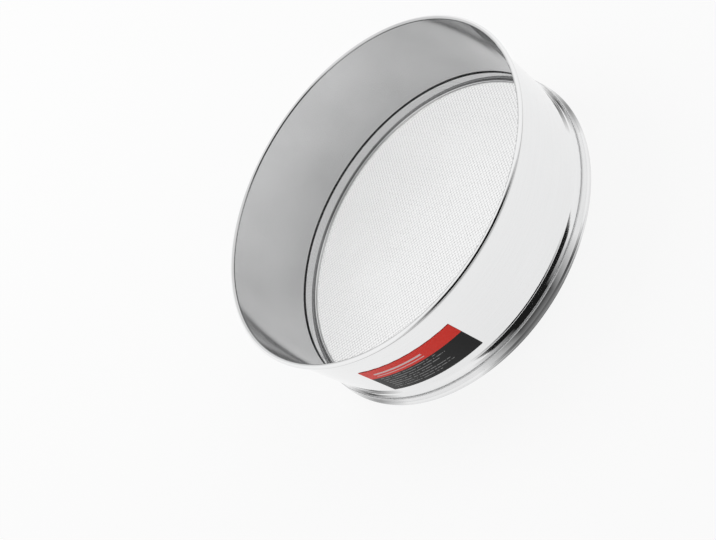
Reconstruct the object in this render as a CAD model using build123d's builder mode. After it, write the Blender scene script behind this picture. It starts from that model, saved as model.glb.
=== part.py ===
from build123d import *
import math
import os

# Drum sieve of stainless sheet, standing on its foot with the axis along +Z.
# The origin is the centre of the circle on which the foot stands.
# All values are in millimetres, angles are in degrees.

# Overall sizes
rim_diameter = 300.0
overall_height = 93.6

# Sheet thicknesses and the play between layers that are pressed together
drum_sheet = 0.6
ring_sheet = 0.8
hoop_sheet = 0.8
cloth_wire_diameter = 0.4
cloth_wire_pitch = 2.6
layer_play = 0.1

# Rolled rim: the top edge of the drum, curled outward round a wire
rim_roll_diameter = 3.8
rim_roll_sweep = 305.0
rim_wire_play = 0.12

# Drum wall: a shallow cone that steps outward above the base
wall_draw_in = 4.7
step_top_height = 16.9
step_foot_height = 13.4
step_bend_radius = 1.2
skirt_foot_play = 0.1

# Clamp hoop, which grips the edge of the wire cloth
hoop_set_in = 0.5
hoop_top_height = 14.0
hoop_bead_diameter = 3.0
hoop_bead_overlap = 0.1
hoop_edge_round = 0.2

# Wire cloth, stretched flat and turned up round the hoop
cloth_edge_height = 12.6
cloth_bend_radius = 0.7

# Plain grid of openings, which stands for the fine ones of the cloth
opening_pitch = 22.0
openings_across = 12
opening_border_radius = 136.5
weave_azimuth = 61.0

# Base ring: a pressed channel that wraps the foot of the drum from outside
ring_top_height = 10.1
ring_joggle_top = 3.8
ring_joggle_foot = 2.7
ring_joggle_out = 1.3
ring_joggle_bend = 0.6
ring_foot_bend = 0.7

# Sticker on the outside of the wall
label_foot_height = 26.2
label_height = 40.6
label_arc = 34.6
label_middle_azimuth = -127.8
label_thickness = 0.15
label_play = 0.15

# Plain weave: where two wires cross, the cloth is two wires thick
cloth_thickness = 2 * cloth_wire_diameter

# Radii of the layers at the foot, from the hoop outward
wall_foot_inner_radius = rim_diameter / 2 - rim_roll_diameter - wall_draw_in
hoop_inner_radius = wall_foot_inner_radius - hoop_set_in
hoop_outer_radius = hoop_inner_radius + hoop_sheet
cloth_middle_radius = hoop_outer_radius + layer_play + cloth_thickness / 2
skirt_inner_radius = hoop_outer_radius + cloth_thickness + 2 * layer_play
skirt_middle_radius = skirt_inner_radius + drum_sheet / 2
leg_middle_radius = skirt_inner_radius + drum_sheet + layer_play + ring_sheet / 2
joggled_radius = leg_middle_radius + ring_joggle_out

# Heights of the layers at the foot, from the table upward
skirt_foot_height = ring_sheet + skirt_foot_play
cloth_middle_height = ring_sheet + layer_play + cloth_thickness / 2
hoop_foot_height = cloth_middle_height + cloth_thickness / 2 + layer_play

# Places that follow from the rolled rim
rim_roll_radius = rim_roll_diameter / 2
rim_curl_radius = rim_roll_radius - drum_sheet / 2
rim_curl_centre_radius = rim_diameter / 2 - rim_roll_radius
rim_curl_centre_height = overall_height - rim_roll_radius
rim_wire_radius = rim_curl_radius - drum_sheet / 2 - rim_wire_play

# The wall's middle line runs from the top of the step and just touches the curl's middle line
wall_foot = (wall_foot_inner_radius + drum_sheet / 2, step_top_height)
run_out = rim_curl_centre_radius - wall_foot[0]
run_up = rim_curl_centre_height - wall_foot[1]
centre_distance = math.hypot(run_out, run_up)
wall_slope = math.atan2(run_up, run_out) + math.asin(rim_curl_radius / centre_distance)
wall_length = math.sqrt(centre_distance**2 - rim_curl_radius**2)
wall_top = (
    wall_foot[0] + wall_length * math.cos(wall_slope),
    wall_foot[1] + wall_length * math.sin(wall_slope),
)

os.makedirs("parts", exist_ok=True)


def wall_middle_radius(height):
    """Radius of the wall's middle line at a height above the step."""
    return wall_foot[0] + (height - wall_foot[1]) / math.tan(wall_slope)


# Drum wall: skirt, step, wall and outward curl, spun from one sheet
with BuildPart() as drum_wall:
    with BuildSketch(Plane.XZ):
        with BuildLine():
            wall_line = FilletPolyline(
                (skirt_middle_radius, skirt_foot_height),
                (skirt_middle_radius, step_foot_height),
                wall_foot,
                wall_top,
                radius=step_bend_radius,
            )
            JernArc(wall_line @ 1, wall_line % 1, rim_curl_radius, -rim_roll_sweep)
        trace(line_width=drum_sheet)
    revolve(axis=Axis.Z)

# Rim wire: round wire inside the curl, which keeps the rim stiff
with BuildPart() as rim_wire:
    with BuildSketch(Plane.XZ):
        with Locations((rim_curl_centre_radius, rim_curl_centre_height)):
            Circle(rim_wire_radius)
    revolve(axis=Axis.Z)

# Base ring: outer leg, outward joggle and a flat foot that reaches in under the cloth
with BuildPart() as base_ring:
    with BuildSketch(Plane.XZ):
        with BuildLine():
            FilletPolyline(
                (leg_middle_radius, ring_top_height),
                (leg_middle_radius, ring_joggle_top),
                (joggled_radius, ring_joggle_foot),
                (joggled_radius, ring_sheet / 2),
                (hoop_inner_radius, ring_sheet / 2),
                radius=[ring_joggle_bend, ring_joggle_bend, ring_foot_bend],
            )
        trace(line_width=ring_sheet)
    revolve(axis=Axis.Z)

# Wire cloth: a flat disc with its edge turned up between the hoop and the skirt.
# Each opening leaves the same share of metal as one wire leaves of the real pitch.
opening_size = opening_pitch * (1 - cloth_wire_diameter / cloth_wire_pitch)
with BuildPart() as mesh_screen:
    with BuildSketch(Plane.XZ):
        with BuildLine():
            FilletPolyline(
                (0, cloth_middle_height),
                (cloth_middle_radius, cloth_middle_height),
                (cloth_middle_radius, cloth_edge_height),
                radius=cloth_bend_radius,
            )
        trace(line_width=cloth_thickness)
    revolve(axis=Axis.Z)
    with BuildSketch(Plane.XY.rotated((0, 0, weave_azimuth))):
        with GridLocations(opening_pitch, opening_pitch, openings_across, openings_across):
            Rectangle(opening_size, opening_size)
        Circle(opening_border_radius, mode=Mode.INTERSECT)
    extrude(amount=hoop_foot_height, mode=Mode.SUBTRACT)

# Clamp hoop: a flat band with a round bead inside its foot, pressed in on the cloth
hoop_bead_radius = hoop_bead_diameter / 2
hoop_bead_centre_radius = hoop_inner_radius + hoop_bead_overlap - hoop_bead_radius
hoop_height = hoop_top_height - hoop_foot_height
with BuildPart() as clamp_hoop:
    with BuildSketch(Plane.XZ):
        with Locations((hoop_inner_radius + hoop_sheet / 2, hoop_foot_height + hoop_height / 2)):
            Rectangle(hoop_sheet, hoop_height)
        top_corners = vertices().group_by(Axis.Y)[-1]
        outer_foot_corner = vertices().group_by(Axis.Y)[0].sort_by(Axis.X)[-1]
        fillet([*top_corners, outer_foot_corner], radius=hoop_edge_round)
        with Locations((hoop_bead_centre_radius, hoop_foot_height + hoop_bead_radius)):
            Circle(hoop_bead_radius)
    revolve(axis=Axis.Z)

# Sticker: a thin patch that follows the cone of the wall
label_foot_radius = wall_middle_radius(label_foot_height) + drum_sheet / 2 + label_play
label_top_height = label_foot_height + label_height
label_top_radius = wall_middle_radius(label_top_height) + drum_sheet / 2 + label_play
label_plane = Plane.XZ.rotated((0, 0, label_middle_azimuth - label_arc / 2))
with BuildPart() as label:
    with BuildSketch(label_plane):
        with BuildLine():
            Polyline(
                (label_foot_radius, label_foot_height),
                (label_foot_radius + label_thickness, label_foot_height),
                (label_top_radius + label_thickness, label_top_height),
                (label_top_radius, label_top_height),
                close=True,
            )
        make_face()
    revolve(axis=Axis.Z, revolution_arc=label_arc)

pieces = {
    "drum_wall": drum_wall,
    "rim_wire": rim_wire,
    "base_ring": base_ring,
    "mesh_screen": mesh_screen,
    "clamp_hoop": clamp_hoop,
    "label": label,
}
for name, piece in pieces.items():
    piece.part.label = name
    export_step(piece.part, f"parts/{name}.step")
    print(name, round(piece.part.volume, 1), piece.part.bounding_box())
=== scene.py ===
import math

import bpy
import numpy as np
from bpy.props import FloatProperty, FloatVectorProperty, IntProperty, PointerProperty
from bpy.types import Operator, Panel, PropertyGroup
from mathutils import Matrix, Vector


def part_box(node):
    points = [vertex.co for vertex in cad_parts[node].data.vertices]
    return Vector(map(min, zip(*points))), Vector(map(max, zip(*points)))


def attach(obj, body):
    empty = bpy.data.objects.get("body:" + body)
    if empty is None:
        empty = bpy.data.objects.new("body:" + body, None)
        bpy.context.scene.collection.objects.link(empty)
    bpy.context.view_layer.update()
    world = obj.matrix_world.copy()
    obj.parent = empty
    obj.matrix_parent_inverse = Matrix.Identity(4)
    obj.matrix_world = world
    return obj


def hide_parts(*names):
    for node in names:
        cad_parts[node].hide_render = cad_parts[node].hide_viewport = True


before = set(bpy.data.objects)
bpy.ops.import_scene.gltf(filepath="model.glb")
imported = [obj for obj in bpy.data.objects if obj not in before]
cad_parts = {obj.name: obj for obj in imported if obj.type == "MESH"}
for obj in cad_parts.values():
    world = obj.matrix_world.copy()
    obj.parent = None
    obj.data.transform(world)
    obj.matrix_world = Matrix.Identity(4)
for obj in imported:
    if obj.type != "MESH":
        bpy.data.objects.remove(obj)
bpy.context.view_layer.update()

bl_info = {
    "name": "Drum Sieve",
    "version": (1, 0, 0),
    "blender": (4, 5, 0),
    "location": "View3D > Sidebar > Drum Sieve",
    "description": "Dresses a steel drum sieve: satin drum, clamped wire cloth and sticker",
    "category": "Object",
}

MM = 0.001
IMAGE_SIZE = (716, 540)
SENSOR_WIDTH = 36.0

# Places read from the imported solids, in metres
CLOTH_LOW, CLOTH_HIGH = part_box("mesh_screen")
LABEL_LOW, LABEL_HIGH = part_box("label")
CLOTH_OUTER_RADIUS = CLOTH_HIGH.x
LABEL_LEFT_AZIMUTH = math.radians(-145.1)
LABEL_ARC = math.radians(34.6)
CLOTH_BEND = 0.7 * MM

# Middle line of the base ring's sheet, from its top edge to the lip under the cloth, as in the solid
RING_SHEET = 0.8 * MM
RING_LINE = [
    (143.9 * MM, 10.1 * MM),
    (143.9 * MM, 3.8 * MM),
    (145.2 * MM, 2.7 * MM),
    (145.2 * MM, 0.4 * MM),
    (141.0 * MM, 0.4 * MM),
]
RING_BENDS = (0.6 * MM, 0.6 * MM, 0.7 * MM)

# Heights between which the steel gets painted shade, where two layers meet or the sheet bends
RIM_CREASE_SHADE = (86.0 * MM, 92.5 * MM)
RIM_BEND_SHADE = (91.4 * MM, 93.1 * MM)
HOOP_CREASE_SHADES = ((4.6 * MM, 5.2 * MM), (0.0, 2.1 * MM))
# Height above which the ring is pale and hardly metallic, a painted highlight along its top edge
RING_EDGE_HEIGHT = 9.4 * MM
# Dark colours painted as shade under and inside the rim, and on the hoop
RIM_SHADE_COLOUR = (0.05, 0.05, 0.05, 1.0)
HOOP_SHADE_COLOUR = (0.06, 0.06, 0.06, 1.0)
BUMP_DEPTH = 0.02 * MM

# Layout of the sticker, as shares of its height and of its length
LABEL_BARS = ((0.78, 0.84), (0.70, 0.73))
LABEL_BAR_RUN = (0.10, 0.62)
LABEL_MARGIN = (0.08, 0.06)

# Light and shade of the stage, as levels where 1 is white
ROOM_LIGHT = 0.62
TABLE_WHITE_SHARE = 0.85
DARKEST = 0.012
FLOOR_SIZE = 12.0

# Soft lamps: name, place and power in watts
LAMP_SIZE = 1.1
LAMP_AIM = (0.0, 0.0, 0.04)
LAMPS = (
    ("Key Lamp", (-0.3, 1.2, 1.3), 9.0),
    ("Fill Lamp", (1.2, -0.2, 1.1), 4.0),
)

# Cards that only polished metal mirrors: name, first and last circle as radius and height,
# middle azimuth and spread in degrees, level at the first and the last circle, softness of the ends
FAR_RADIUS = 1.3
CARD_FOOT = (146.1 * MM, 0.3 * MM)
CARD_TOP = (146.1 * MM, 13.5 * MM)
CARDS = (
    ("Dark Wall", (FAR_RADIUS, 0.0), (FAR_RADIUS, 1.8), -90.0, 106.0, (DARKEST, DARKEST), 0.22),
    ("Dark Table", (0.26, 0.5 * MM), (FAR_RADIUS, 0.5 * MM), -90.0, 106.0, (DARKEST, DARKEST), 0.22),
    ("Foot Card", CARD_FOOT, CARD_TOP, -94.0, 52.0, (0.30, -0.15), 0.35),
    ("Foot Shade", (144.0 * MM, 0.2 * MM), (147.5 * MM, 0.2 * MM), -94.0, 52.0, (0.02, 0.02), 0.35),
    ("Right Card", CARD_FOOT, CARD_TOP, -19.0, 26.0, (0.45, 0.10), 0.45),
    ("Left Card", CARD_FOOT, CARD_TOP, -161.0, 26.0, (0.55, 0.10), 0.45),
)


# Settings


class SieveClothSettings(PropertyGroup):
    """Sizes and colour of the woven wire cloth"""

    pitch: FloatProperty(
        name="Wire Pitch",
        description="Distance from one wire to the next",
        default=2.6 * MM,
        min=0.5 * MM,
        subtype="DISTANCE",
        unit="LENGTH",
    )
    wire: FloatProperty(
        name="Wire Diameter",
        description="Thickness of one wire, half the thickness of the cloth",
        default=0.4 * MM,
        min=0.1 * MM,
        subtype="DISTANCE",
        unit="LENGTH",
    )
    turn: FloatProperty(
        name="Weave Turn",
        description="Direction of the first set of wires, seen from above",
        default=math.radians(61.0),
        subtype="ANGLE",
        unit="ROTATION",
    )
    sides: IntProperty(
        name="Wire Sides",
        description="Faces round one wire",
        default=8,
        min=3,
        max=12,
    )
    colour: FloatVectorProperty(
        name="Wire Colour",
        description="Colour of the bright drawn wire",
        default=(0.87, 0.872, 0.875),
        size=3,
        min=0.0,
        max=1.0,
        subtype="COLOR",
    )


class SieveSteelSettings(PropertyGroup):
    """Colours of the sheet steel"""

    outside: FloatVectorProperty(
        name="Drum Outside",
        description="Colour of the smooth outside of the drum",
        default=(0.86, 0.862, 0.865),
        size=3,
        min=0.0,
        max=1.0,
        subtype="COLOR",
    )
    inside: FloatVectorProperty(
        name="Drum Inside",
        description="Colour of the satin inside of the drum",
        default=(0.62, 0.622, 0.625),
        size=3,
        min=0.0,
        max=1.0,
        subtype="COLOR",
    )
    ring: FloatVectorProperty(
        name="Base Ring",
        description="Colour of the pressed base ring",
        default=(0.82, 0.822, 0.825),
        size=3,
        min=0.0,
        max=1.0,
        subtype="COLOR",
    )
    hoop: FloatVectorProperty(
        name="Clamp Hoop",
        description="Colour of the polished clamp hoop",
        default=(0.62, 0.622, 0.625),
        size=3,
        min=0.0,
        max=1.0,
        subtype="COLOR",
    )
    rim_wire: FloatVectorProperty(
        name="Rim Wire",
        description="Colour of the dull wire inside the rolled rim",
        default=(0.36, 0.362, 0.365),
        size=3,
        min=0.0,
        max=1.0,
        subtype="COLOR",
    )


class SieveLabelSettings(PropertyGroup):
    """Layout and colours of the sticker"""

    red_share: FloatProperty(
        name="Red Share",
        description="Share of the sticker's height that is red",
        default=0.37,
        min=0.0,
        max=1.0,
        subtype="FACTOR",
    )
    red: FloatVectorProperty(
        name="Label Red",
        description="Colour of the upper field",
        default=(0.78, 0.035, 0.022),
        size=3,
        min=0.0,
        max=1.0,
        subtype="COLOR",
    )
    black: FloatVectorProperty(
        name="Label Black",
        description="Colour of the lower field",
        default=(0.004, 0.004, 0.0045),
        size=3,
        min=0.0,
        max=1.0,
        subtype="COLOR",
    )
    rows: IntProperty(
        name="Rows",
        description="Rows of thin rules that would fit on the whole height of the sticker",
        default=13,
        min=1,
    )
    ink: FloatVectorProperty(
        name="Ink Colour",
        description="Colour of the printed rules",
        default=(0.75, 0.75, 0.75),
        size=3,
        min=0.0,
        max=1.0,
        subtype="COLOR",
    )


class SieveStageSettings(PropertyGroup):
    """Camera, light and floor"""

    distance: FloatProperty(
        name="Camera Distance",
        description="From the camera to the point that it looks at",
        default=1.091,
        min=0.2,
        subtype="DISTANCE",
        unit="LENGTH",
    )
    elevation: FloatProperty(
        name="Camera Elevation",
        description="Angle of the view above the table",
        default=math.radians(38.73),
        subtype="ANGLE",
        unit="ROTATION",
    )
    roll: FloatProperty(
        name="Camera Roll",
        description="Turn of the picture about the line of sight",
        default=math.radians(-57.23),
        subtype="ANGLE",
        unit="ROTATION",
    )
    target_height: FloatProperty(
        name="Target Height",
        description="Height on the sieve's axis of the point that the camera looks at",
        default=40.3 * MM,
        subtype="DISTANCE",
        unit="LENGTH",
    )
    focal_pixels: FloatProperty(
        name="Focal Length in Pixels",
        description="Focal length, measured in pixels of the picture",
        default=1378.4,
        min=100.0,
    )
    target_pixel: FloatVectorProperty(
        name="Target Pixel",
        description="Pixel of the picture on which the target lies",
        default=(410.0, 213.5),
        size=2,
    )
    floor_colour: FloatVectorProperty(
        name="Floor Colour",
        description="Colour of the pale table",
        default=(0.86, 0.86, 0.86),
        size=3,
        min=0.0,
        max=1.0,
        subtype="COLOR",
    )


# Node helpers


def add_node(tree, kind, place, **values):
    """A node of one kind at a place in the editor, with properties and inputs set by name."""
    node = tree.nodes.new(kind)
    node.location = place
    for key, value in values.items():
        if hasattr(node, key):
            setattr(node, key, value)
        else:
            node.inputs[key.replace("_", " ")].default_value = value
    return node


def maths(tree, operation, place, *terms, clamp=False):
    """A Math node whose terms are numbers or sockets; returns its output."""
    node = add_node(tree, "ShaderNodeMath", place, operation=operation, use_clamp=clamp)
    for socket, term in zip(node.inputs, terms):
        if isinstance(term, bpy.types.NodeSocket):
            tree.links.new(term, socket)
        else:
            socket.default_value = term
    return node.outputs[0]


def between(tree, value, low, high, place, soft=0.0001):
    """A mask that is 1 where value lies from low to high, with soft edges."""
    rise = maths(tree, "SUBTRACT", place, value, low)
    rise = maths(tree, "DIVIDE", (place[0] + 160, place[1]), rise, soft, clamp=True)
    fall = maths(tree, "SUBTRACT", (place[0], place[1] - 160), high, value)
    fall = maths(tree, "DIVIDE", (place[0] + 160, place[1] - 160), fall, soft, clamp=True)
    return maths(tree, "MULTIPLY", (place[0] + 320, place[1]), rise, fall)


def mix_colours(tree, factor, first, second, place, blend_type="MIX"):
    """A colour mix of sockets or colours; returns its output."""
    node = add_node(tree, "ShaderNodeMix", place, data_type="RGBA", blend_type=blend_type)
    ins = [node.inputs[0], node.inputs[6], node.inputs[7]]
    for socket, term in zip(ins, (factor, first, second)):
        if isinstance(term, bpy.types.NodeSocket):
            tree.links.new(term, socket)
        else:
            socket.default_value = term
    return node.outputs[2]


def rgba(colour):
    """A colour with full alpha."""
    return (*colour, 1.0)


def new_material(name):
    """A material, its tree and its Principled shader."""
    material = bpy.data.materials.new(name)
    material.use_nodes = True
    tree = material.node_tree
    shader = tree.nodes["Principled BSDF"]
    shader.location = (900, 0)
    tree.nodes["Material Output"].location = (1200, 0)
    return material, tree, shader


def new_group(name, inputs, outputs):
    """An empty shader node group with named inputs, given with their defaults, and named outputs."""
    group = bpy.data.node_groups.new(name, "ShaderNodeTree")
    for label, default in inputs.items():
        kind = "NodeSocketColor" if isinstance(default, tuple) else "NodeSocketFloat"
        socket = group.interface.new_socket(label, in_out="INPUT", socket_type=kind)
        socket.default_value = default
    for label, kind in outputs.items():
        group.interface.new_socket(label, in_out="OUTPUT", socket_type=kind)
    into = add_node(group, "NodeGroupInput", (-1200, 0))
    out = add_node(group, "NodeGroupOutput", (1200, 0))
    return group, into.outputs, out.inputs


def place_group(tree, group, place, **values):
    """An instance of a node group in a material, with some inputs set by name."""
    node = add_node(tree, "ShaderNodeGroup", place, node_tree=group)
    for key, value in values.items():
        node.inputs[key.replace("_", " ")].default_value = value
    return node


# Shared effects


def brushed_sheet_group():
    """Fine lines that run round the drum, as a turned sheet gets them from abrasive cloth."""
    name = "Brushed Sheet"
    if name in bpy.data.node_groups:
        return bpy.data.node_groups[name]
    group, given, made = new_group(
        name,
        {"Colour": (0.8, 0.8, 0.8, 1.0), "Roughness": 0.2, "Line Strength": 0.1, "Cloud Strength": 0.06},
        {"Colour": "NodeSocketColor", "Roughness": "NodeSocketFloat", "Height": "NodeSocketFloat"},
    )
    place = add_node(group, "ShaderNodeTexCoord", (-1200, -300)).outputs["Object"]
    lines = []
    for row, (along, across) in enumerate(((9.0, 2600.0), (22.0, 700.0))):
        stretch = add_node(group, "ShaderNodeMapping", (-960, -200 - 240 * row))
        stretch.inputs["Scale"].default_value = (along, along, across)
        group.links.new(place, stretch.inputs["Vector"])
        noise = add_node(
            group, "ShaderNodeTexNoise", (-720, -200 - 240 * row), Scale=1.0, Detail=2.0, Roughness=0.6
        )
        group.links.new(stretch.outputs[0], noise.inputs["Vector"])
        lines.append(noise.outputs["Fac"])
    line = maths(group, "ADD", (-480, -300), lines[0], lines[1])
    line = maths(group, "SUBTRACT", (-320, -300), line, 1.0)
    cloud = add_node(group, "ShaderNodeTexNoise", (-720, 200), Scale=11.0, Detail=2.0, Roughness=0.45)
    group.links.new(place, cloud.inputs["Vector"])
    cloud = maths(group, "SUBTRACT", (-480, 200), cloud.outputs["Fac"], 0.5)

    shade = maths(group, "MULTIPLY", (-160, 100), line, given["Line Strength"])
    drift = maths(group, "MULTIPLY", (-160, 260), cloud, given["Cloud Strength"])
    shade = maths(group, "ADD", (0, 180), shade, drift)
    shade = maths(group, "MULTIPLY", (160, 180), shade, 2.0)
    shade = maths(group, "ADD", (320, 180), shade, 1.0)
    tint = add_node(group, "ShaderNodeCombineColor", (480, 180))
    for socket in tint.inputs:
        group.links.new(shade, socket)
    group.links.new(
        mix_colours(group, 1.0, given["Colour"], tint.outputs[0], (680, 180), "MULTIPLY"), made["Colour"]
    )
    rough = maths(group, "MULTIPLY", (-160, -100), line, given["Line Strength"])
    rough = maths(group, "MULTIPLY_ADD", (0, -100), cloud, 0.10, rough)
    rough = maths(group, "ADD", (160, -100), rough, given["Roughness"], clamp=True)
    group.links.new(rough, made["Roughness"])
    group.links.new(line, made["Height"])
    return group


def facing_group():
    """Masks for a turned sheet: its inner side, how far a face looks down, and the height."""
    name = "Side of Sheet"
    if name in bpy.data.node_groups:
        return bpy.data.node_groups[name]
    group, given, made = new_group(
        name,
        {"Softness": 0.2},
        {
            "Inside": "NodeSocketFloat",
            "Down": "NodeSocketFloat",
            "Height": "NodeSocketFloat",
        },
    )
    geometry = add_node(group, "ShaderNodeNewGeometry", (-1000, -200))
    flat = add_node(group, "ShaderNodeVectorMath", (-800, 0), operation="MULTIPLY")
    group.links.new(geometry.outputs["Position"], flat.inputs[0])
    flat.inputs[1].default_value = (1.0, 1.0, 0.0)
    outward = add_node(group, "ShaderNodeVectorMath", (-640, 0), operation="NORMALIZE")
    group.links.new(flat.outputs[0], outward.inputs[0])
    dot = add_node(group, "ShaderNodeVectorMath", (-480, 0), operation="DOT_PRODUCT")
    group.links.new(outward.outputs[0], dot.inputs[0])
    group.links.new(geometry.outputs["Normal"], dot.inputs[1])
    inside = maths(group, "DIVIDE", (-320, 0), dot.outputs["Value"], given["Softness"])
    inside = maths(group, "MULTIPLY_ADD", (-160, 0), inside, -0.5, 0.5, clamp=True)
    group.links.new(inside, made["Inside"])
    normal = add_node(group, "ShaderNodeSeparateXYZ", (-640, -300))
    group.links.new(geometry.outputs["Normal"], normal.inputs[0])
    down = maths(group, "MULTIPLY", (-480, -460), normal.outputs["Z"], -1.0)
    group.links.new(maths(group, "MAXIMUM", (-320, -460), down, 0.0), made["Down"])
    place = add_node(group, "ShaderNodeSeparateXYZ", (-640, -600))
    group.links.new(geometry.outputs["Position"], place.inputs[0])
    group.links.new(place.outputs["Z"], made["Height"])
    return group


def turned_tangent(tree, shader, place, amount):
    """Stretches the shader's highlights across lines that run round the axis."""
    tangent = add_node(tree, "ShaderNodeTangent", place, direction_type="RADIAL", axis="Z")
    tree.links.new(tangent.outputs[0], shader.inputs["Tangent"])
    shader.inputs["Anisotropic"].default_value = amount


def add_bump(tree, shader, height, strength, distance, place):
    """Feeds a height into the shader's normal."""
    bump = add_node(tree, "ShaderNodeBump", place, Strength=strength, Distance=distance)
    tree.links.new(height, bump.inputs["Height"])
    tree.links.new(bump.outputs[0], shader.inputs["Normal"])


# Finishes


def drum_steel():
    """Spun sheet: smooth and bright outside, satin inside, with painted shade under the rolled rim's bead, at
    the bend inside it and towards the bottom inside.
    """
    steel = bpy.context.scene.sieve_steel
    material, tree, shader = new_material("Drum Steel")
    side = place_group(tree, facing_group(), (-700, 300), Softness=0.25)
    # Painted shade: the inside is darker towards the bottom of the drum
    climb = maths(tree, "MULTIPLY_ADD", (-560, 560), side.outputs["Height"], 2.2, 0.80, clamp=True)
    satin = add_node(tree, "ShaderNodeCombineColor", (-400, 560))
    for socket in satin.inputs:
        tree.links.new(climb, socket)
    satin = mix_colours(tree, 1.0, rgba(steel.inside), satin.outputs[0], (-240, 560), "MULTIPLY")
    base = mix_colours(tree, side.outputs["Inside"], rgba(steel.outside), satin, (-80, 300))
    clouds = maths(tree, "MULTIPLY_ADD", (200, 20), side.outputs["Inside"], 0.22, 0.03)
    # Painted shade under the rim bead on the outside, strongest where faces look down
    crease_shade = between(tree, side.outputs["Height"], *RIM_CREASE_SHADE, (-700, -500), 2.2 * MM)
    below = maths(tree, "MULTIPLY", (-360, -600), side.outputs["Down"], 6.0, clamp=True)
    shadow = maths(tree, "MULTIPLY", (-200, -420), crease_shade, below)
    outside = maths(tree, "SUBTRACT", (-360, -760), 1.0, side.outputs["Inside"])
    shadow = maths(tree, "MULTIPLY", (-40, -420), shadow, outside)
    base = mix_colours(tree, shadow, base, RIM_SHADE_COLOUR, (120, 240))
    # Painted shade along the bend below the rim bead on the inside
    bend = between(tree, side.outputs["Height"], *RIM_BEND_SHADE, (-700, -900), 0.6 * MM)
    bend = maths(tree, "MULTIPLY", (-200, -900), bend, side.outputs["Inside"])
    bend = maths(tree, "MULTIPLY", (-40, -900), bend, 0.4)
    base = mix_colours(tree, bend, base, RIM_SHADE_COLOUR, (240, 400))
    sheet = place_group(tree, brushed_sheet_group(), (360, 160), Line_Strength=0.02)
    tree.links.new(base, sheet.inputs["Colour"])
    tree.links.new(clouds, sheet.inputs["Cloud Strength"])
    rough = maths(tree, "MULTIPLY_ADD", (120, -60), side.outputs["Inside"], 0.09, 0.05)
    tree.links.new(rough, sheet.inputs["Roughness"])
    tree.links.new(sheet.outputs["Colour"], shader.inputs["Base Color"])
    tree.links.new(sheet.outputs["Roughness"], shader.inputs["Roughness"])
    shader.inputs["Metallic"].default_value = 1.0
    turned_tangent(tree, shader, (600, -400), 0.2)
    add_bump(tree, shader, sheet.outputs["Height"], 0.03, BUMP_DEPTH, (640, -200))
    return material


def sheet_steel(name, colour, roughness, line_strength, anisotropic, shade_creases=(), edge=None):
    """Pressed sheet with lines round the axis, with painted shade in given height bands and a painted
    highlight above the edge height, where it is pale and hardly metallic.
    """
    material, tree, shader = new_material(name)
    sheet = place_group(
        tree,
        brushed_sheet_group(),
        (360, 160),
        Colour=rgba(colour),
        Roughness=roughness,
        Line_Strength=line_strength,
        Cloud_Strength=0.06,
    )
    base = sheet.outputs["Colour"]
    height = place_group(tree, facing_group(), (-700, 300)).outputs["Height"]
    # Painted shade in the given height bands, such as those above and below the hoop's bead
    for row, (low, high) in enumerate(shade_creases):
        crease_shade = between(tree, height, low, high, (-400, -300 - 320 * row), 0.3 * MM)
        base = mix_colours(tree, crease_shade, base, HOOP_SHADE_COLOUR, (560 + 160 * row, 300))
    tree.links.new(base, shader.inputs["Base Color"])
    tree.links.new(sheet.outputs["Roughness"], shader.inputs["Roughness"])
    shader.inputs["Metallic"].default_value = 1.0
    # Painted highlight: above the edge height the sheet turns pale and hardly metallic, so the top edge shows
    # as a bright line
    if edge:
        matt = maths(tree, "GREATER_THAN", (400, -100), height, edge)
        matt = maths(tree, "MULTIPLY_ADD", (560, -100), matt, -0.8, 1.0)
        tree.links.new(matt, shader.inputs["Metallic"])
    turned_tangent(tree, shader, (600, -400), anisotropic)
    add_bump(tree, shader, sheet.outputs["Height"], 0.05, BUMP_DEPTH, (640, -200))
    return material


def drawn_wire(name, colour, roughness):
    """Bright wire with faint marks of the drawing die and a little change from place to place."""
    material, tree, shader = new_material(name)
    place = add_node(tree, "ShaderNodeTexCoord", (-700, 0)).outputs["Object"]
    marks = add_node(tree, "ShaderNodeTexNoise", (-450, 150), Scale=900.0, Detail=1.0)
    drift = add_node(tree, "ShaderNodeTexNoise", (-450, -150), Scale=30.0, Detail=2.0)
    for noise in (marks, drift):
        tree.links.new(place, noise.inputs["Vector"])
    shade = maths(tree, "MULTIPLY_ADD", (-200, 150), marks.outputs["Fac"], 0.16, 0.84)
    shade = maths(tree, "MULTIPLY_ADD", (0, 150), drift.outputs["Fac"], 0.16, shade)
    tint = add_node(tree, "ShaderNodeCombineColor", (200, 150))
    for socket in tint.inputs:
        tree.links.new(shade, socket)
    tree.links.new(
        mix_colours(tree, 1.0, rgba(colour), tint.outputs[0], (420, 150), "MULTIPLY"),
        shader.inputs["Base Color"],
    )
    rough = maths(tree, "MULTIPLY_ADD", (0, -150), drift.outputs["Fac"], 0.2, roughness - 0.1)
    tree.links.new(rough, shader.inputs["Roughness"])
    shader.inputs["Metallic"].default_value = 1.0
    return material


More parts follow.
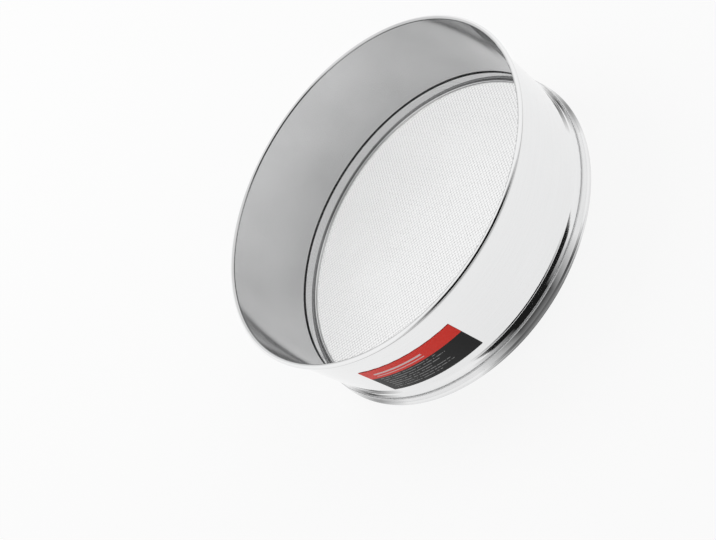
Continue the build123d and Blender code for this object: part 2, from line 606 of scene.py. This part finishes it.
def printed_vinyl():
    """The sticker: a red field over a black one, with rows of thin broken rules in place of print."""
    label = bpy.context.scene.sieve_label
    material, tree, shader = new_material("Printed Vinyl")
    place = add_node(tree, "ShaderNodeTexCoord", (-2300, 0)).outputs["Object"]
    axes = add_node(tree, "ShaderNodeSeparateXYZ", (-2100, 0))
    tree.links.new(place, axes.inputs[0])
    azimuth = maths(tree, "ARCTAN2", (-1900, -200), axes.outputs["Y"], axes.outputs["X"])
    along = maths(tree, "SUBTRACT", (-1740, -200), azimuth, LABEL_LEFT_AZIMUTH)
    along = maths(tree, "DIVIDE", (-1580, -200), along, LABEL_ARC)
    up = maths(tree, "SUBTRACT", (-1900, 100), axes.outputs["Z"], LABEL_LOW.z)
    up = maths(tree, "DIVIDE", (-1740, 100), up, LABEL_HIGH.z - LABEL_LOW.z)

    row = maths(tree, "MULTIPLY", (-1400, 0), up, label.rows)
    number = maths(tree, "FLOOR", (-1240, 0), row)
    in_row = maths(tree, "FRACT", (-1240, -160), row)
    stroke = between(tree, in_row, 0.36, 0.62, (-1080, -160), 0.06)
    spot = add_node(tree, "ShaderNodeCombineXYZ", (-1080, 120))
    tree.links.new(maths(tree, "MULTIPLY", (-1240, 260), along, 46.0), spot.inputs[0])
    tree.links.new(maths(tree, "MULTIPLY", (-1240, 420), number, 7.3), spot.inputs[1])
    words = add_node(tree, "ShaderNodeTexNoise", (-900, 120), Scale=1.0, Detail=1.0, Roughness=0.7)
    tree.links.new(spot.outputs[0], words.inputs["Vector"])
    word = maths(tree, "GREATER_THAN", (-720, 120), words.outputs["Fac"], 0.44)
    row_end = add_node(tree, "ShaderNodeTexWhiteNoise", (-900, 420), noise_dimensions="1D")
    tree.links.new(number, row_end.inputs["W"])
    last = maths(tree, "MULTIPLY_ADD", (-720, 420), row_end.outputs["Value"], 0.22, 0.56)
    inside_row = between(tree, along, LABEL_MARGIN[0], last, (-560, 420), 0.004)
    print_top = 1.0 - label.red_share - 0.04
    print_height = between(tree, up, LABEL_MARGIN[1], print_top, (-560, 700), 0.004)
    ink = maths(tree, "MULTIPLY", (-200, 120), stroke, word)
    ink = maths(tree, "MULTIPLY", (-40, 120), ink, inside_row)
    ink = maths(tree, "MULTIPLY", (120, 120), ink, print_height)
    bar_high = between(tree, up, *LABEL_BARS[0], (-560, 1000), 0.008)
    bar_low = between(tree, up, *LABEL_BARS[1], (-560, 1300), 0.008)
    bars = maths(tree, "ADD", (-80, 1100), bar_high, bar_low)
    bar_run = between(tree, along, *LABEL_BAR_RUN, (-560, 1600), 0.004)
    bars = maths(tree, "MULTIPLY", (80, 1100), bars, bar_run)
    bars = maths(tree, "MULTIPLY", (240, 1100), bars, 0.75)

    is_red = maths(tree, "GREATER_THAN", (-200, -200), up, 1.0 - label.red_share)
    colour = mix_colours(tree, is_red, rgba(label.black), rgba(label.red), (0, -200))
    ink = maths(tree, "MULTIPLY", (200, 0), ink, 0.45)
    ink = maths(tree, "ADD", (280, 120), ink, bars, clamp=True)
    colour = mix_colours(tree, ink, colour, rgba(label.ink), (440, -100))
    tree.links.new(colour, shader.inputs["Base Color"])
    grain = add_node(tree, "ShaderNodeTexNoise", (280, -400), Scale=420.0, Detail=2.0)
    tree.links.new(place, grain.inputs["Vector"])
    rough = maths(tree, "MULTIPLY_ADD", (480, -400), grain.outputs["Fac"], 0.12, 0.34)
    tree.links.new(rough, shader.inputs["Roughness"])
    add_bump(tree, shader, grain.outputs["Fac"], 0.1, BUMP_DEPTH, (680, -500))
    shader.inputs["Specular IOR Level"].default_value = 0.16
    return material


# Building the pieces


def wear(node_name, material):
    """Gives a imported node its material."""
    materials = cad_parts[node_name].data.materials
    materials.clear()
    materials.append(material)


def bent_line(corners, bends, steps=6):
    """Points of a line with rounded corners, each with the direction to its left."""
    corners = [np.array(corner) for corner in corners]
    points, lefts = [], []

    def add(point, left):
        points.append(point)
        lefts.append(left / np.linalg.norm(left))

    run = corners[1] - corners[0]
    add(corners[0], np.array([-run[1], run[0]]))
    for before, corner, after, bend in zip(corners, corners[1:], corners[2:], bends):
        back = (before - corner) / np.linalg.norm(before - corner)
        ahead = (after - corner) / np.linalg.norm(after - corner)
        half = math.acos(back @ ahead) / 2
        middle = corner + (back + ahead) / np.linalg.norm(back + ahead) * bend / math.sin(half)
        first = corner + back * bend / math.tan(half) - middle
        last = corner + ahead * bend / math.tan(half) - middle
        turn = math.pi - 2 * half
        turns_left = back[1] * ahead[0] - back[0] * ahead[1] > 0
        for share in np.linspace(0.0, 1.0, steps + 1):
            spoke = (math.sin((1 - share) * turn) * first + math.sin(share * turn) * last) / math.sin(turn)
            add(middle + spoke, -spoke if turns_left else spoke)
    run = corners[-1] - corners[-2]
    add(corners[-1], np.array([-run[1], run[0]]))
    return np.array(points), np.array(lefts)


def turned_ring(name, corners, bends, sheet, material, stations=240):
    """A bent sheet turned round the axis as one closed, finely divided solid."""
    points, lefts = bent_line(corners, bends)
    section = np.vstack((points + lefts * sheet / 2, (points - lefts * sheet / 2)[::-1]))
    turns = np.arange(stations) / stations * math.tau
    radius, height = section[:, 0], section[:, 1]
    place = np.stack(
        (
            np.outer(np.cos(turns), radius),
            np.outer(np.sin(turns), radius),
            np.broadcast_to(height, (stations, len(height))),
        ),
        axis=2,
    )
    number = np.arange(stations * len(section)).reshape(stations, len(section))
    beside = np.roll(number, -1, axis=0)
    faces = np.stack((number, np.roll(number, -1, axis=1), np.roll(beside, -1, axis=1), beside), axis=2)
    mesh = bpy.data.meshes.new(name)
    mesh.from_pydata(place.reshape(-1, 3).tolist(), [], faces.reshape(-1, 4).tolist())
    mesh.materials.append(material)
    mesh.shade_smooth()
    mesh.set_sharp_from_angle(angle=math.radians(40.0))
    made = bpy.data.objects.new(name, mesh)
    bpy.context.scene.collection.objects.link(made)
    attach(made, "root")
    return made


def wire_paths(first_set):
    """The middle lines of one set of wires: over and under the other set, then up behind the hoop."""
    cloth = bpy.context.scene.sieve_cloth
    pitch = cloth.pitch
    middle_height = CLOTH_LOW.z + cloth.wire
    wall_radius = CLOTH_OUTER_RADIUS - cloth.wire
    flat_radius = wall_radius - CLOTH_BEND
    count = int(flat_radius / pitch) + 1
    stations = (np.arange(-count, count + 1) + 0.5) * pitch
    turn = cloth.turn if first_set else cloth.turn + math.pi / 2
    along = np.array([math.cos(turn), math.sin(turn)])
    across = np.array([-along[1], along[0]])
    side = 1.0 if first_set else -1.0
    paths = []
    for row, station in enumerate(stations):
        offset = station * side
        if abs(offset) > flat_radius - pitch / 2:
            continue
        reach = math.sqrt(flat_radius**2 - offset**2)
        used = np.flatnonzero(np.abs(stations) < reach - 0.4 * pitch)
        swing = side * cloth.wire / 2 * np.where((used + row) % 2 == 0, 1.0, -1.0)
        flat = np.outer(stations[used], along) + offset * across
        woven = np.column_stack((flat, middle_height + swing))
        ends = []
        for sign in (-1.0, 1.0):
            edge = sign * reach * along + offset * across
            wall = edge / flat_radius * wall_radius
            ends.append(
                [
                    (*edge, middle_height),
                    (*wall, middle_height + CLOTH_BEND),
                    (*wall, CLOTH_HIGH.z),
                ]
            )
        paths.append((np.vstack((ends[0][::-1], woven, ends[1])), across))
    return paths


def weave(name, first_set, material):
    """One set of wires of the cloth as closed tubes, with a map that gives each wire its own strip."""
    cloth = bpy.context.scene.sieve_cloth
    sides = cloth.sides
    angles = np.arange(sides) / sides * math.tau
    paths = wire_paths(first_set)
    vertices, faces, caps, corners, cap_corners = [], [], [], [], []
    start = 0
    for strip, (line, across) in enumerate(paths):
        tangent = np.gradient(line, axis=0)
        tangent /= np.linalg.norm(tangent, axis=1)[:, None]
        lift = np.cross(tangent, (*across, 0.0))
        lift /= np.linalg.norm(lift, axis=1)[:, None]
        beside = np.cross(tangent, lift)
        ring = np.cos(angles)[None, :, None] * beside[:, None] + np.sin(angles)[None, :, None] * lift[:, None]
        vertices.append((line[:, None] + cloth.wire / 2 * ring).reshape(-1, 3))
        stations = len(line)
        number = start + np.arange(stations * sides).reshape(stations, sides)
        after = np.roll(number, -1, axis=1)
        faces.append(np.stack((number[:-1], number[1:], after[1:], after[:-1]), axis=2).reshape(-1, 4))
        caps += [number[0].tolist(), number[-1][::-1].tolist()]
        run = np.concatenate(([0.0], np.cumsum(np.linalg.norm(np.diff(line, axis=0), axis=1))))
        run = run / (2.2 * CLOTH_OUTER_RADIUS)
        low = np.broadcast_to((strip + 0.9 * np.arange(sides) / sides) / len(paths), (stations - 1, sides))
        high = low + 0.9 / sides / len(paths)
        left = np.broadcast_to(run[:-1, None], low.shape)
        right = np.broadcast_to(run[1:, None], low.shape)
        square = np.stack((left, low, right, low, right, high, left, high), axis=2)
        corners.append(square.reshape(-1, 2))
        cap_corners += [[left[0, 0], low[0, 0]]] * sides + [[right[-1, 0], low[0, 0]]] * sides
        start += stations * sides
    mesh = bpy.data.meshes.new(name)
    mesh.from_pydata(np.vstack(vertices).tolist(), [], np.vstack(faces).tolist() + caps)
    strips = mesh.uv_layers.new(name="OFBake")
    strips.uv.foreach_set("vector", np.vstack(corners + [np.array(cap_corners)]).astype(np.float32).ravel())
    mesh.materials.append(material)
    mesh.shade_smooth()
    made = bpy.data.objects.new(name, mesh)
    bpy.context.scene.collection.objects.link(made)
    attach(made, "root")
    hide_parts("mesh_screen")


# Stage


def lamp(name, place, aim, size, watts):
    """A square soft lamp that polished metal does not mirror."""
    light = bpy.data.lights.new(name, "AREA")
    light.size = size
    light.energy = watts
    made = bpy.data.objects.new(name, light)
    made.location = place
    made.rotation_mode = "QUATERNION"
    made.rotation_quaternion = (Vector(aim) - Vector(place)).to_track_quat("-Z", "Y")
    made.visible_glossy = False
    bpy.context.scene.collection.objects.link(made)


def seen_directly(tree, place):
    """1 on rays from the camera, in gloss and through glass, so that all of them meet a white room."""
    path = add_node(tree, "ShaderNodeLightPath", place)
    seen = maths(
        tree, "ADD", (place[0] + 200, place[1]), path.outputs["Is Camera Ray"], path.outputs["Is Glossy Ray"]
    )
    seen = maths(
        tree, "ADD", (place[0] + 360, place[1]), seen, path.outputs["Is Transmission Ray"], clamp=True
    )
    return seen


def white_room():
    """A world that looks white and lights the sieve at a plain level."""
    world = bpy.data.worlds.new("White Room")
    world.use_nodes = True
    bpy.context.scene.world = world
    tree = world.node_tree
    tree.nodes.clear()
    out = add_node(tree, "ShaderNodeOutputWorld", (800, 0))
    lit = add_node(tree, "ShaderNodeBackground", (400, -100), Color=(1, 1, 1, 1), Strength=ROOM_LIGHT)
    white = add_node(tree, "ShaderNodeBackground", (400, -250), Color=(1, 1, 1, 1), Strength=1.0)
    mix = add_node(tree, "ShaderNodeMixShader", (600, 0))
    tree.links.new(seen_directly(tree, (-200, 100)), mix.inputs[0])
    tree.links.new(lit.outputs[0], mix.inputs[1])
    tree.links.new(white.outputs[0], mix.inputs[2])
    tree.links.new(mix.outputs[0], out.inputs[0])


def pale_table(colour):
    """The floor's material: white to the eye, with part of the light and shade that falls on it."""
    material = bpy.data.materials.new("Pale Table")
    material.use_nodes = True
    tree = material.node_tree
    tree.nodes.clear()
    out = add_node(tree, "ShaderNodeOutputMaterial", (800, 0))
    matt = add_node(tree, "ShaderNodeBsdfDiffuse", (200, 0), Color=rgba(colour))
    glow = add_node(tree, "ShaderNodeEmission", (200, -160), Color=(1, 1, 1, 1), Strength=1.0)
    mix = add_node(tree, "ShaderNodeMixShader", (600, 0))
    share = maths(tree, "MULTIPLY", (340, 160), seen_directly(tree, (-300, 160)), TABLE_WHITE_SHARE)
    tree.links.new(share, mix.inputs[0])
    tree.links.new(matt.outputs[0], mix.inputs[1])
    tree.links.new(glow.outputs[0], mix.inputs[2])
    tree.links.new(mix.outputs[0], out.inputs[0])
    return material


def gloss_card(name, first, last, azimuth, spread, shades, fade):
    """A strip round the sieve with soft ends, which shows only as a darker band in polished metal."""
    material = bpy.data.materials.new(name)
    material.use_nodes = True
    tree = material.node_tree
    tree.nodes.clear()
    out = add_node(tree, "ShaderNodeOutputMaterial", (800, 0))
    clear = add_node(tree, "ShaderNodeBsdfTransparent", (200, 0))
    dark = add_node(tree, "ShaderNodeEmission", (200, -160), Color=(1, 1, 1, 1))
    mix = add_node(tree, "ShaderNodeMixShader", (600, 0))
    axes = add_node(tree, "ShaderNodeSeparateXYZ", (-600, 0))
    tree.links.new(add_node(tree, "ShaderNodeTexCoord", (-800, 0)).outputs["UV"], axes.inputs[0])
    tree.links.new(between(tree, axes.outputs["X"], 0.0, 1.0, (-400, 200), fade), mix.inputs[0])
    climb = maths(tree, "MULTIPLY_ADD", (0, -160), axes.outputs["Y"], shades[1] - shades[0], shades[0])
    climb = maths(tree, "MAXIMUM", (100, -320), climb, DARKEST)
    tree.links.new(climb, dark.inputs["Strength"])
    tree.links.new(clear.outputs[0], mix.inputs[1])
    tree.links.new(dark.outputs[0], mix.inputs[2])
    tree.links.new(mix.outputs[0], out.inputs[0])

    shares = np.linspace(0.0, 1.0, 49)
    turns = np.radians(azimuth - spread / 2 + spread * shares)
    rims = [
        np.column_stack((radius * np.cos(turns), radius * np.sin(turns), np.full_like(turns, height)))
        for radius, height in (first, last)
    ]
    count = len(turns)
    faces = [(i, i + 1, count + i + 1, count + i) for i in range(count - 1)]
    mesh = bpy.data.meshes.new(name)
    mesh.from_pydata(np.vstack(rims).tolist(), [], faces)
    strip = mesh.uv_layers.new(name="Strip")
    squares = [((a, 0), (b, 0), (b, 1), (a, 1)) for a, b in zip(shares, shares[1:])]
    strip.uv.foreach_set("vector", np.array(squares, dtype=np.float32).ravel())
    mesh.materials.append(material)
    card = bpy.data.objects.new(name, mesh)
    bpy.context.scene.collection.objects.link(card)
    card.visible_camera = False
    card.visible_diffuse = False
    card.visible_transmission = False
    card.visible_shadow = False


# Operators


class SIEVE_OT_stage(Operator):
    """Set up the camera, the soft light, the white room and the table"""

    bl_idname = "sieve.stage"
    bl_label = "Camera, Light and Floor"

    def execute(self, context):
        stage = context.scene.sieve_stage
        eye = bpy.data.cameras.new("Camera")
        eye.sensor_fit = "HORIZONTAL"
        eye.sensor_width = SENSOR_WIDTH
        width, height = IMAGE_SIZE
        eye.lens = stage.focal_pixels * SENSOR_WIDTH / width
        eye.shift_x = (width / 2 - stage.target_pixel[0]) / width
        eye.shift_y = (stage.target_pixel[1] - height / 2) / width
        eye.clip_start = 0.01
        eye.clip_end = 50.0
        camera = bpy.data.objects.new("Camera", eye)
        context.scene.collection.objects.link(camera)
        sight = Vector((0.0, math.cos(stage.elevation), -math.sin(stage.elevation)))
        camera.rotation_mode = "QUATERNION"
        tilt = Matrix.Rotation(math.pi / 2 - stage.elevation, 3, "X")
        camera.rotation_quaternion = (tilt @ Matrix.Rotation(stage.roll, 3, "Z")).to_quaternion()
        camera.location = Vector((0.0, 0.0, stage.target_height)) - stage.distance * sight
        context.scene.camera = camera
        context.scene.view_settings.view_transform = "Standard"

        white_room()
        bpy.ops.mesh.primitive_plane_add(size=FLOOR_SIZE)
        floor = context.object
        floor.name = "Table"
        floor.data.materials.append(pale_table(stage.floor_colour))
        for name, place, watts in LAMPS:
            lamp(name, place, LAMP_AIM, LAMP_SIZE, watts)
        for card in CARDS:
            gloss_card(*card)
        return {"FINISHED"}


class SIEVE_OT_drum(Operator):
    """Give the drum wall and the wire in its rolled rim their steel"""

    bl_idname = "sieve.drum"
    bl_label = "Drum Wall and Rim Wire"

    def execute(self, context):
        steel = context.scene.sieve_steel
        wear("drum_wall", drum_steel())
        wear("rim_wire", drawn_wire("Rim Wire", steel.rim_wire, 0.45))
        return {"FINISHED"}


class SIEVE_OT_base(Operator):
    """Turn the base ring in fine steps, and give it and the clamp hoop their steel"""

    bl_idname = "sieve.base"
    bl_label = "Base Ring and Clamp Hoop"

    def execute(self, context):
        steel = context.scene.sieve_steel
        ring_steel = sheet_steel("Ring Steel", steel.ring, 0.10, 0.05, 0.3, edge=RING_EDGE_HEIGHT)
        ring = turned_ring("pressed_base_ring", RING_LINE, RING_BENDS, RING_SHEET, ring_steel)
        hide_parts("base_ring")
        hoop_steel = sheet_steel("Hoop Steel", steel.hoop, 0.08, 0.03, 0.2, shade_creases=HOOP_CREASE_SHADES)
        wear("clamp_hoop", hoop_steel)
        return {"FINISHED"}


class SIEVE_OT_cloth(Operator):
    """Weave the wire cloth in place of its plain sheet"""

    bl_idname = "sieve.cloth"
    bl_label = "Woven Wire Cloth"

    def execute(self, context):
        wire = drawn_wire("Cloth Wire", context.scene.sieve_cloth.colour, 0.32)
        weave("cloth_wires_one_way", True, wire)
        weave("cloth_wires_other_way", False, wire)
        return {"FINISHED"}


class SIEVE_OT_label(Operator):
    """Print the sticker's two plain fields"""

    bl_idname = "sieve.label"
    bl_label = "Sticker"

    def execute(self, context):
        wear("label", printed_vinyl())
        return {"FINISHED"}


class SIEVE_PT_panel(Panel):
    """The sieve's pieces and their settings"""

    bl_label = "Drum Sieve"
    bl_idname = "SIEVE_PT_panel"
    bl_space_type = "VIEW_3D"
    bl_region_type = "UI"
    bl_category = "Drum Sieve"

    def draw(self, context):
        for operator, settings in STEPS:
            box = self.layout.box()
            box.operator(operator)
            if settings:
                group = getattr(context.scene, settings)
                for name in group.__annotations__:
                    box.prop(group, name)


STEPS = (
    ("sieve.stage", "sieve_stage"),
    ("sieve.drum", "sieve_steel"),
    ("sieve.base", None),
    ("sieve.cloth", "sieve_cloth"),
    ("sieve.label", "sieve_label"),
)

SETTINGS = {
    "sieve_cloth": SieveClothSettings,
    "sieve_steel": SieveSteelSettings,
    "sieve_label": SieveLabelSettings,
    "sieve_stage": SieveStageSettings,
}

CLASSES = (
    *SETTINGS.values(),
    SIEVE_OT_stage,
    SIEVE_OT_drum,
    SIEVE_OT_base,
    SIEVE_OT_cloth,
    SIEVE_OT_label,
    SIEVE_PT_panel,
)


def register():
    for kind in CLASSES:
        bpy.utils.register_class(kind)
    for name, kind in SETTINGS.items():
        setattr(bpy.types.Scene, name, PointerProperty(type=kind))


def unregister():
    for name in SETTINGS:
        delattr(bpy.types.Scene, name)
    for kind in reversed(CLASSES):
        bpy.utils.unregister_class(kind)


def main():
    """Dresses the sieve."""
    register()
    bpy.ops.sieve.stage()
    bpy.ops.sieve.drum()
    bpy.ops.sieve.base()
    bpy.ops.sieve.cloth()
    bpy.ops.sieve.label()


if __name__ == "__main__":
    main()
